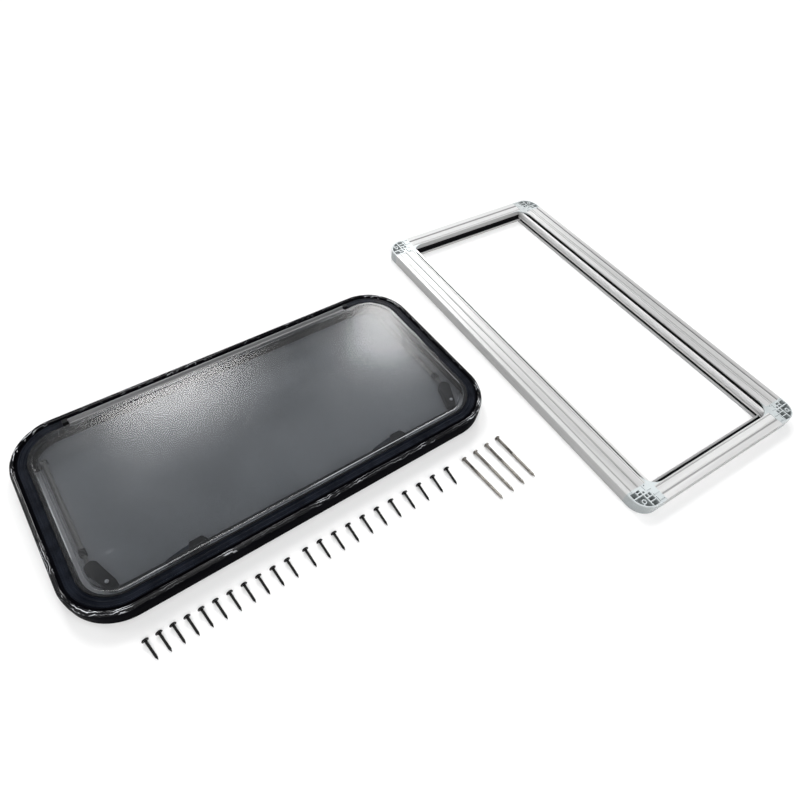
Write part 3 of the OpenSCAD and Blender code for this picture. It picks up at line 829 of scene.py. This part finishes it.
def screw_row_tree() -> bpy.types.NodeTree:
    """A row of one screw repeated, each turned a little more than the last and rolled at random."""
    wires, given, out = new_tree("screw_row", [
        ("Screw", "NodeSocketObject"), ("Count", "NodeSocketInt"), ("Start", "NodeSocketVector"),
        ("Step", "NodeSocketVector"), ("Growth", "NodeSocketFloat"), ("Group Gap", "NodeSocketFloat"),
        ("Tilt", "NodeSocketFloat"), ("First Yaw", "NodeSocketFloat"),
        ("Yaw Step", "NodeSocketFloat"), ("Seed", "NodeSocketInt"), ("Material", "NodeSocketMaterial")])
    get = {socket.name: socket for socket in given.outputs}
    row = wires.add("GeometryNodeMeshLine", mode="OFFSET")
    wires.plug(row.inputs["Count"], get["Count"])
    wires.plug(row.inputs["Start Location"], get["Start"])
    wires.plug(row.inputs["Offset"], get["Step"])
    index = wires.add("GeometryNodeInputIndex").outputs[0]
    second = wires.math("GREATER_THAN", wires.math("ADD", index, 0.5),
                        wires.math("MULTIPLY", get["Count"], 0.5))
    spread = wires.add("ShaderNodeCombineXYZ")
    wires.plug(spread.inputs["X"], wires.math(
        "ADD", wires.math("MULTIPLY", wires.math("MULTIPLY", index, index), get["Growth"]),
        wires.math("MULTIPLY", second, get["Group Gap"])))
    spaced = wires.add("GeometryNodeSetPosition")
    wires.plug(spaced.inputs["Geometry"], row.outputs[0])
    wires.plug(spaced.inputs["Offset"], spread.outputs[0])
    turn = wires.add("ShaderNodeCombineXYZ")
    wires.plug(turn.inputs["X"], get["Tilt"])
    wires.plug(turn.inputs["Z"], wires.math("ADD", get["First Yaw"],
                                            wires.math("MULTIPLY", index, get["Yaw Step"])))
    shape = wires.add("GeometryNodeObjectInfo")
    wires.plug(shape.inputs["Object"], get["Screw"])
    laid = wires.add("GeometryNodeInstanceOnPoints")
    wires.plug(laid.inputs["Points"], spaced.outputs[0])
    wires.plug(laid.inputs["Instance"], shape.outputs["Geometry"])
    wires.plug(laid.inputs["Rotation"], turn.outputs[0])
    roll = wires.add("FunctionNodeRandomValue", data_type="FLOAT")
    roll.inputs["Min"].default_value = 0.0
    roll.inputs["Max"].default_value = math.pi
    wires.plug(roll.inputs["Seed"], get["Seed"])
    spin = wires.add("ShaderNodeCombineXYZ")
    wires.plug(spin.inputs["Z"], next(s for s in roll.outputs if s.enabled))
    rolled = wires.add("GeometryNodeRotateInstances")
    wires.plug(rolled.inputs["Instances"], laid.outputs[0])
    wires.plug(rolled.inputs["Rotation"], spin.outputs[0])
    finish_tree(wires, rolled.outputs[0], get["Material"], out)
    return wires.tree


def pleat_tree() -> bpy.types.NodeTree:
    """A cloth folded back and forth across its width."""
    wires, given, out = new_tree("pleated_cloth", [
        ("Folds", "NodeSocketInt"), ("Depth", "NodeSocketFloat"), ("Low", "NodeSocketFloat"),
        ("Leaf", "NodeSocketFloat"), ("Length", "NodeSocketFloat"), ("Material", "NodeSocketMaterial")])
    get = {socket.name: socket for socket in given.outputs}
    grid = wires.add("GeometryNodeMeshGrid")
    wires.plug(grid.inputs["Size X"], get["Depth"])
    wires.plug(grid.inputs["Size Y"], get["Length"])
    wires.plug(grid.inputs["Vertices X"], wires.math("ADD", get["Folds"], 1.0))
    grid.inputs["Vertices Y"].default_value = 40
    place = wires.add("ShaderNodeSeparateXYZ")
    wires.plug(place.inputs[0], wires.add("GeometryNodeInputPosition").outputs[0])
    column = wires.math("ROUND", wires.math("MULTIPLY", wires.math("ADD", wires.math(
        "DIVIDE", place.outputs[0], get["Depth"]), 0.5), get["Folds"]))
    odd = wires.math("MODULO", column, 2.0)
    sway = wires.math("MULTIPLY", wires.math("SUBTRACT", wires.noise(
        wires.add("GeometryNodeInputPosition").outputs[0], 14.0, 2.0), 0.5), 0.0006)
    offset = wires.add("ShaderNodeCombineXYZ")
    wires.plug(offset.inputs["X"], sway)
    wires.plug(offset.inputs["Z"], wires.math("ADD", get["Low"], wires.math("MULTIPLY", odd, get["Leaf"])))
    folded = wires.add("GeometryNodeSetPosition")
    wires.plug(folded.inputs["Geometry"], grid.outputs[0])
    wires.plug(folded.inputs["Offset"], offset.outputs[0])
    finish_tree(wires, folded.outputs[0], get["Material"], out)
    return wires.tree


# ---------- the hatch ----------


@dataclass
class Rim:
    """The black moulded rim, its clamp ring and its rubber."""

    corner: float = 0.100
    spacing: float = 0.0026
    crease_height: float = 0.0016
    crease_scale: float = 42.0

    def section(self) -> list[Point]:
        """The rim's section: outer wall, double crest, groove, rib, ledge and barrel."""
        return rounded([
            (0, 14, 0.6), (0, 31.2, 1.4), (1.6, 35.4, 0.6), (2.6, 35.2, 0.3), (3.6, 37.5, 0.5),
            (5.2, 38.0, 0.5), (6.6, 37.1, 0.3), (7.3, 37.4, 0.3), (8.8, 36.8, 0.45), (9.5, 31, 0.3),
            (13.2, 31, 0.5), (13.2, 34.5, 0.5), (14.8, 34.5, 0.5), (14.8, 27.5, 0), (39.5, 27.5, 0.4),
            (39.5, 25, 0.4), (31, 25, 0.8), (31, 1, 0.4), (28, 1, 0.4), (28, 14, 0), (20.8, 14, 0),
            (20.8, 22, 0), (17.2, 22, 0), (17.2, 14, 0)])

    def build(self) -> None:
        """Sweeps the rim and eases its packed neighbours."""
        low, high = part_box("outer_rim")
        section = section_object(self.section())
        mesh = grow("rim_moulding", rim_sweep_tree(), {
            "Width": high.x - low.x, "Height": high.y - low.y, "Corner": self.corner,
            "Spacing": self.spacing, "Section": section, "Crease Height": self.crease_height,
            "Crease Scale": self.crease_scale, "Crest Level": 0.0335, "Crest Width": 0.0098,
            "Material": FILM_BLACK.build()})
        bpy.data.objects.remove(section)
        shade(mesh, 50.0)
        piece = new_piece("rim_moulding", mesh, FILM_BLACK)
        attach(piece, "rim")
        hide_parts("outer_rim")
        eased_copy("clamp_ring", SATIN_BLACK, 0.0006)
        eased_copy("rim_gasket", RUBBER, 0.0003)
        eased_copy("trim_gasket", RUBBER, 0.0003)
        eased_copy("pane_seal", RUBBER, 0.0003)
        log.info("rim: %d faces", len(mesh.polygons))


@dataclass
class Hinge:
    """The bead hinge along the far side."""

    edge: float = 0.0004

    def build(self) -> None:
        """Eases the rail, its caps and the strip on the sash."""
        eased_copy("hinge_rail", HINGE_ALLOY, self.edge)
        eased_copy("hinge_end_caps", BLACK_PLASTIC, self.edge * 2)
        eased_copy("hinge_strip", HINGE_ALLOY, self.edge)
        log.info("hinge: done")


@dataclass
class Sash:
    """The double smoked panes."""

    border: float = 0.0370
    thick: float = 0.0029
    step: float = 0.0007
    crown: float = 0.0026
    crease_in: float = 0.0404
    edge_in: float = 0.032
    corner: float = 0.100
    per_corner: int = 18
    per_long: int = 64
    per_short: int = 28

    def ring(self, inset: float, half: Vector) -> list[Vector]:
        """One closed line that follows the rim.

        Args:
            inset: Distance inside the rim's outer edge.
            half: Half of the rim's width and height.

        Returns:
            Its points, in plan.
        """
        radius = max(self.corner - inset, 0.0)
        reach = Vector((half.x - inset - radius, half.y - inset - radius))
        points: list[Vector] = []
        arcs = []
        for k, (sx, sy) in enumerate(((1, 1), (-1, 1), (-1, -1), (1, -1))):
            centre = Vector((sx * reach.x, sy * reach.y))
            arcs.append([centre + radius * Vector((math.cos(a), math.sin(a))) for a in (
                math.pi / 2 * (k + i / self.per_corner) for i in range(self.per_corner + 1))])
        for k, arc in enumerate(arcs):
            points += arc
            ahead = arcs[(k + 1) % 4][0]
            count = self.per_long if k % 2 == 0 else self.per_short
            points += [arc[-1].lerp(ahead, i / count) for i in range(1, count)]
        return points

    def level(self, point: Vector, inset: float, half: Vector) -> float:
        """Height of the outer pane's upper face.

        Args:
            point: Where, in plan.
            inset: How far inside the rim's outer edge.
            half: Half of the rim's width and height.

        Returns:
            The height.
        """
        rise = min(max((inset - self.crease_in + 0.0012) / 0.0024, 0.0), 1.0)
        rise = rise * rise * (3 - 2 * rise)
        bead = 0.00022 * math.exp(-((inset - self.crease_in - 0.0008) / 0.0007) ** 2)
        field = Vector((half.x - self.crease_in, half.y - self.crease_in))
        dome = max(0.0, 1 - (point.y / field.y) ** 2) * max(0.0, 1 - (point.x / field.x) ** 6)
        return self.border + rise * self.step + bead + self.crown * dome * rise

    def build(self) -> None:
        """Forms the outer pane and eases the inner one."""
        low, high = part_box("outer_rim")
        half = (high - low) / 2
        work = bmesh.new()
        insets = [0.0323, 0.033, 0.036, 0.0385]
        insets += [self.crease_in - 0.0014 + 0.00035 * i for i in range(12)]
        insets += [0.046, 0.052, 0.062, 0.076, 0.092, 0.112, 0.135, 0.16, 0.185, 0.205, 0.219, half.y - 0.0004]
        stations = [(s, -self.thick) for s in reversed(insets)]
        stations += [(self.edge_in, 0.0004 - self.thick), (self.edge_in, -0.0004)]
        stations += [(s, 0.0) for s in insets]
        rows = []
        for inset, drop in stations:
            rows.append([work.verts.new((p.x, p.y, self.level(p, inset, half) + drop))
                         for p in self.ring(inset, half)])
        count = len(rows[0])
        for one, two in zip(rows, rows[1:]):
            for i in range(count):
                j = (i + 1) % count
                work.faces.new((one[i], one[j], two[j], two[i]))
        work.faces.new(rows[0])
        work.faces.new(rows[-1])
        bmesh.ops.remove_doubles(work, verts=work.verts, dist=1e-6)
        bmesh.ops.dissolve_degenerate(work, dist=1e-6, edges=work.edges)
        bmesh.ops.recalc_face_normals(work, faces=work.faces)
        mesh = bpy.data.meshes.new("outer_pane_formed")
        work.to_mesh(mesh)
        work.free()
        shade(mesh, 50.0)
        piece = new_piece("outer_pane_formed", mesh, SMOKED_OUTER)
        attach(piece, "sash")
        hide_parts("outer_pane")
        eased_copy("inner_pane", SMOKED_INNER, 0.0008, 2)
        log.info("sash: %d faces", len(mesh.polygons))


@dataclass
class Latch:
    """One turning latch and its keeper."""

    side: str
    edge: float = 0.0008

    def build(self) -> None:
        """Eases the base, the handle and the keeper."""
        eased_copy(f"latch_base_{self.side}", BLACK_PLASTIC, self.edge, 3)
        eased_copy(f"latch_handle_{self.side}", NAVY_PLASTIC, self.edge, 3)
        eased_copy(f"latch_keeper_{self.side}", FITTING_ALLOY, 0.0002)
        log.info("latch %s: done", self.side)


@dataclass
class Stay:
    """One sliding stay with its foot and bracket."""

    side: str

    def build(self) -> None:
        """Eases the stay's pieces."""
        eased_copy(f"stay_tube_{self.side}", STAY_ALLOY, 0.0003)
        eased_copy(f"stay_collar_{self.side}", BLACK_PLASTIC, 0.0005)
        eased_copy(f"stay_rod_{self.side}", STAY_ALLOY, 0.0002)
        eased_copy(f"stay_foot_{self.side}", BLACK_PLASTIC, 0.0005)
        eased_copy(f"stay_bracket_{self.side}", BLACK_PLASTIC, 0.0005)
        log.info("stay %s: done", self.side)


@dataclass
class Cassette:
    """The aluminium cassette with its corner blocks, pull bars and pleated cloths."""

    width: float = 0.508
    length: float = 0.935
    edge: float = 0.00025
    folds: int = 16
    cloth_from: float = 0.0393
    cloth_to: float = 0.0600
    cloth_low: float = 0.0052
    leaf: float = 0.0162
    cloth_thick: float = 0.0003
    clear_end: float = 0.0415

    def matrix(self) -> Matrix:
        """From the cassette's own frame, along its width and its length, to the row's frame."""
        lows, highs = zip(*(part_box(f"cassette_corner_{end}_{side}") for end in ("near", "far")
                            for side in ("blind", "screen")))
        centre = [(min(p[i] for p in lows) + max(p[i] for p in highs)) / 2 for i in range(2)]
        return (Matrix.Translation((*centre, 0.0)) @ Matrix.Rotation(CASSETTE_TURN, 4, "Z")
                @ Matrix.Translation((-self.width / 2, -self.length / 2, 0.0)))

    def cloth(self, tree: bpy.types.NodeTree, label: str, finish: Finish, mirrored: bool) -> None:
        """Folds one cloth between its rail and its pull bar.

        Args:
            tree: The pleating tree.
            label: blackout or flyscreen.
            finish: Its finish.
            mirrored: True on the far side of the cassette.
        """
        depth = self.cloth_to - self.cloth_from
        across = self.length - 2 * self.clear_end
        mesh = grow(f"{label}_cloth", tree, {
            "Folds": self.folds, "Depth": depth, "Low": self.cloth_low, "Leaf": self.leaf,
            "Length": across, "Material": finish.build()})
        piece = new_piece(f"{label}_cloth", mesh, finish)
        solid = piece.modifiers.new("thickness", "SOLIDIFY")
        solid.thickness = self.cloth_thick
        solid.offset = 0.0
        done = baked(piece)
        piece.modifiers.clear()
        piece.data = done
        middle = (self.cloth_from + self.cloth_to) / 2
        middle = self.width - middle if mirrored else middle
        spot = self.matrix() @ Matrix.Translation((middle, self.length / 2, 0.0))
        done.transform(spot)
        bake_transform(piece)
        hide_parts(f"{label}_pleats")

    def build(self) -> None:
        """Eases the rails, blocks and bars, and folds the cloths."""
        for side in ("blind", "screen"):
            eased_copy(f"cassette_rail_{side}_side", RAIL_LONG, self.edge)
            eased_copy(f"pile_strip_{side}", BLACK_PLASTIC, 0.0002)
            for end in ("near", "far"):
                eased_copy(f"cassette_corner_{end}_{side}", CORNER_PLASTIC, self.edge)
        for end in ("near", "far"):
            eased_copy(f"cassette_end_rail_{end}", RAIL_END, self.edge)
            eased_copy(f"guide_strip_{end}", BLACK_PLASTIC, 0.0001)
        tree = pleat_tree()
        for label, finish, mirrored in (("blackout", BLACKOUT, False), ("flyscreen", SCREEN, True)):
            eased_copy(f"{label}_bar", BAR_ALLOY, self.edge)
            self.cloth(tree, label, finish, mirrored)
        log.info("cassette: done")


@dataclass
class Screw:
    """One threaded pan-head screw, standing on its head with its point up."""

    shank: float
    length: float
    head: float
    head_height: float
    pitch: float
    threaded: float
    depth: float = 0.0005
    sides: int = 14

    def lie(self) -> float:
        """The angle at which it lies on its head and its point."""
        return math.atan((self.head - self.shank) / (self.length - 2.2 * self.shank))

    def lift(self) -> float:
        """Height of its head's centre when it lies on the bench."""
        return self.head * math.cos(self.lie()) + self.head_height * math.sin(self.lie()) + 0.00002

    def mesh(self) -> bpy.types.Mesh:
        """Turns the head and the shank, and winds the thread."""
        top = self.head_height + self.length
        tip = 2.2 * self.shank
        work = bmesh.new()
        rings: list[tuple[float, float, bool]] = [
            (self.head * 0.45, 0.0, False), (self.head * 0.72, self.head_height * 0.12, False),
            (self.head * 0.92, self.head_height * 0.42, False), (self.head, self.head_height * 0.8, False),
            (self.head * 0.97, self.head_height, False), (self.shank * 0.99, self.head_height, False),
            (self.shank * 0.94, self.head_height + 0.0006, False)]
        start = top - self.threaded
        rings.append((self.shank * 0.94, start - 0.0002, False))
        steps = math.ceil(self.threaded / (self.pitch / 5))
        for i in range(steps + 1):
            z = start + self.threaded * i / steps
            taper = min(1.0, max(0.0, (top - z) / tip))
            rings.append((self.shank * (0.12 + 0.88 * taper), z, True))
        count = self.sides
        rows = []
        for radius, z, wound in rings:
            row = []
            for k in range(count):
                angle = 2 * math.pi * k / count
                r = radius
                if wound:
                    phase = (z / self.pitch - k / count) % 1.0
                    crest = min(1.0, max(0.0, 1.35 - abs(phase - 0.5) / 0.3))
                    r = max(0.00015, radius - self.depth * (1 - crest) * min(1.0, radius / self.shank))
                row.append(work.verts.new((r * math.cos(angle), r * math.sin(angle), z)))
            rows.append(row)
        for one, two in zip(rows, rows[1:]):
            for k in range(count):
                j = (k + 1) % count
                work.faces.new((one[k], one[j], two[j], two[k]))
        centre = work.verts.new((0.0, 0.0, self.head_height * 0.45))
        arms = []
        for k in range(count):
            a = 2 * math.pi * k / count
            inner = self.head * (0.40 if k % 3 else 0.16)
            arms.append(work.verts.new((inner * math.cos(a), inner * math.sin(a), 0.00002)))
        for k in range(count):
            j = (k + 1) % count
            work.faces.new((rows[0][j], rows[0][k], arms[k], arms[j]))
            work.faces.new((arms[j], arms[k], centre))
        work.faces.new(rows[-1])
        bmesh.ops.recalc_face_normals(work, faces=work.faces)
        mesh = bpy.data.meshes.new("screw")
        work.to_mesh(mesh)
        work.free()
        shade(mesh, 38.0)
        return mesh


@dataclass
class ScrewRow:
    """A row of loose screws lying side by side."""

    name: str
    node: str
    screw: Screw
    count: int
    start: tuple[float, float]
    step: tuple[float, float]
    first_yaw: float
    yaw_step: float
    finish: Finish
    seed: int
    growth: float = 0.0
    group_gap: float = 0.0

    def build(self, tree: bpy.types.NodeTree) -> None:
        """Lays the row with the screw tree.

        Args:
            tree: The tree from screw_row_tree.
        """
        template = bpy.data.objects.new("screw", self.screw.mesh())
        bpy.context.scene.collection.objects.link(template)
        mesh = grow(self.name, tree, {
            "Screw": template, "Count": self.count, "Start": (*self.start, self.screw.lift()),
            "Step": (*self.step, 0.0), "Growth": self.growth, "Group Gap": self.group_gap,
            "Tilt": math.pi / 2 + self.screw.lie(),
            "First Yaw": math.radians(self.first_yaw), "Yaw Step": math.radians(self.yaw_step),
            "Seed": self.seed, "Material": self.finish.build()})
        bpy.data.objects.remove(template)
        shade(mesh, 38.0)
        piece = new_piece(self.name, mesh, self.finish)
        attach(piece, body_of(self.node))
        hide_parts(self.node)
        log.info("%s: %d faces", self.name, len(mesh.polygons))


# ---------- studio ----------


@dataclass(frozen=True)
class SoftBox:
    """A soft bright patch of the studio, by its compass bearing from +Y and its height, in degrees."""

    bearing: tuple[float, float]
    height: tuple[float, float]
    blur: float
    strength: float


@dataclass
class Studio:
    """Pale floor, soft light and the camera."""

    place: tuple[float, float, float] = (-0.2908, -0.7118, 1.0394)
    bearing: float = 40.318
    dip: float = 51.40
    roll: float = 6.643
    lens: float = 27.52
    shift: tuple[float, float] = (0.0207, 0.0101)
    ambient: float = 0.12
    backdrop: float = 1.0
    boxes: tuple[SoftBox, ...] = (
        SoftBox((35.4, 44.0), (26.0, 45.6), 0.5, 15.5),
        SoftBox((42.0, 56.0), (20.0, 43.0), 4.0, 2.0),
        SoftBox((2.5, 18.0), (26.0, 49.0), 1.5, 12.5),
        SoftBox((-44.0, -16.0), (34.0, 58.0), 3.0, 3.0),
        SoftBox((120.0, 185.0), (25.0, 62.0), 5.0, 1.6),
        SoftBox((-185.0, -110.0), (25.0, 62.0), 5.0, 1.6),
        SoftBox((-200.0, 200.0), (77.0, 95.0), 2.0, 3.6),
    )

    def camera(self) -> None:
        data = bpy.data.cameras.new("camera")
        data.lens, data.sensor_width = self.lens, 36.0
        data.shift_x, data.shift_y = self.shift
        data.clip_start, data.clip_end = 0.01, 50.0
        holder = bpy.data.objects.new("camera", data)
        bpy.context.scene.collection.objects.link(holder)
        a, e, r = (math.radians(v) for v in (self.bearing, self.dip, self.roll))
        ahead = Vector((math.sin(a) * math.cos(e), math.cos(a) * math.cos(e), -math.sin(e)))
        right = ahead.cross(Vector((0, 0, 1))).normalized()
        up = right.cross(ahead)
        right_r = right * math.cos(r) + up * math.sin(r)
        up_r = up * math.cos(r) - right * math.sin(r)
        turn = Matrix((right_r, up_r, -ahead)).transposed().to_4x4()
        holder.matrix_world = Matrix.Translation(self.place) @ turn
        bpy.context.scene.camera = holder

    def world(self) -> None:
        world = bpy.data.worlds.new("studio")
        bpy.context.scene.world = world
        world.use_nodes = True
        world.node_tree.nodes.clear()
        wires = Wires(world.node_tree)
        parts = wires.add("ShaderNodeSeparateXYZ")
        wires.plug(parts.inputs[0], wires.add("ShaderNodeTexCoord").outputs["Generated"])
        bearing = wires.math("DEGREES", wires.math("ARCTAN2", parts.outputs[0], parts.outputs[1]))
        height = wires.math("DEGREES", wires.math("ARCSINE", parts.outputs[2]))
        total = wires.span(height, -5.0, 60.0, self.ambient * 1.15, self.ambient * 0.75)
        for box in self.boxes:
            mask = None
            for value, (low, high) in ((bearing, box.bearing), (height, box.height)):
                for near, far in ((low - box.blur, low + box.blur), (high + box.blur, high - box.blur)):
                    edge = wires.span(value, near, far)
                    mask = edge if mask is None else wires.math("MULTIPLY", mask, edge)
            total = wires.math("ADD", total, wires.math("MULTIPLY", mask, box.strength))
        light = wires.add("ShaderNodeBackground")
        light.inputs["Color"].default_value = (1.0, 1.0, 1.0, 1.0)
        wires.plug(light.inputs["Strength"], total)
        plain = wires.add("ShaderNodeBackground")
        plain.inputs["Color"].default_value = (1.0, 1.0, 1.0, 1.0)
        plain.inputs["Strength"].default_value = self.backdrop
        choice = wires.add("ShaderNodeMixShader")
        wires.plug(choice.inputs[0], wires.add("ShaderNodeLightPath").outputs["Is Camera Ray"])
        wires.plug(choice.inputs[1], light.outputs[0])
        wires.plug(choice.inputs[2], plain.outputs[0])
        wires.plug(wires.add("ShaderNodeOutputWorld").inputs["Surface"], choice.outputs[0])

    def lamp(self, name: str, place: Colour, aim: Colour, size: float, power: float) -> None:
        """Hangs one square soft light.

        Args:
            name: Its name.
            place: Where it hangs.
            aim: The point it faces.
            size: Length of its side.
            power: Its power in watts.
        """
        data = bpy.data.lights.new(name, "AREA")
        data.size, data.energy = size, power
        holder = bpy.data.objects.new(name, data)
        bpy.context.scene.collection.objects.link(holder)
        holder.location = place
        holder.rotation_euler = (Vector(aim) - Vector(place)).to_track_quat("-Z", "Y").to_euler()

    def floor(self) -> None:
        """Lays the pale floor."""
        mesh = bpy.data.meshes.new("floor")
        size, drop = 9.0, -0.0004
        mesh.from_pydata([(-size, -size, drop), (size, -size, drop), (size, size, drop),
                          (-size, size, drop)], [], [(0, 1, 2, 3)])
        material = bpy.data.materials.new("pale_floor")
        material.use_nodes = True
        material.node_tree.nodes.clear()
        wires = Wires(material.node_tree)
        shader = wires.add("ShaderNodeBsdfDiffuse")
        cloud = wires.noise(wires.add("ShaderNodeTexCoord").outputs["Object"], 0.7, 2.0)
        wires.plug(shader.inputs["Color"],
                   wires.blend(cloud, rgba((0.93, 0.93, 0.93)), rgba((0.95, 0.95, 0.95))))
        wires.plug(wires.add("ShaderNodeOutputMaterial").inputs["Surface"], shader.outputs[0])
        mesh.materials.append(material)
        sheet = bpy.data.objects.new("floor", mesh)
        bpy.context.scene.collection.objects.link(sheet)

    def build(self) -> None:
        """Sets the whole stage."""
        self.camera()
        self.world()
        self.floor()
        self.lamp("overhead", (-0.7, -1.7, 2.7), (0.3, 0.0, 0.0), 1.4, 24.0)
        bpy.context.scene.view_settings.view_transform = "Standard"
        log.info("studio: set")


def main() -> None:
    logging.basicConfig(level=logging.INFO, format="%(message)s")
    Studio().build()
    Rim().build()
    Hinge().build()
    Sash().build()
    for side in ("left", "right"):
        Latch(side).build()
        Stay(side).build()
    eased_copy("latch_pivot_caps", FITTING_ALLOY, 0.0002)
    eased_copy("stay_bracket_rivets", FITTING_ALLOY, 0.0004, 3)
    Cassette().build()
    rows = screw_row_tree()
    pitch = 0.750 / 25.2
    ScrewRow("clamp_screws_threaded", "clamp_screws", Screw(0.0026, 0.038, 0.00648, 0.0034, 0.0021, 0.034),
             22, (-0.362, -0.2685), (0.766 * pitch, -0.00035), 8.0, -12.4 / 22, BLACK_STEEL, 4,
             0.0104 * pitch, 0.008).build(rows)
    ScrewRow("long_screws_threaded", "long_screws", Screw(0.0032, 0.112, 0.006, 0.004, 0.0036, 0.068, 0.0008),
             4, (0.307, -0.277), (0.0315, 0.001), 3.8, -2.6 / 4, BRIGHT_STEEL, 7).build(rows)


if __name__ == "__main__":
    main()
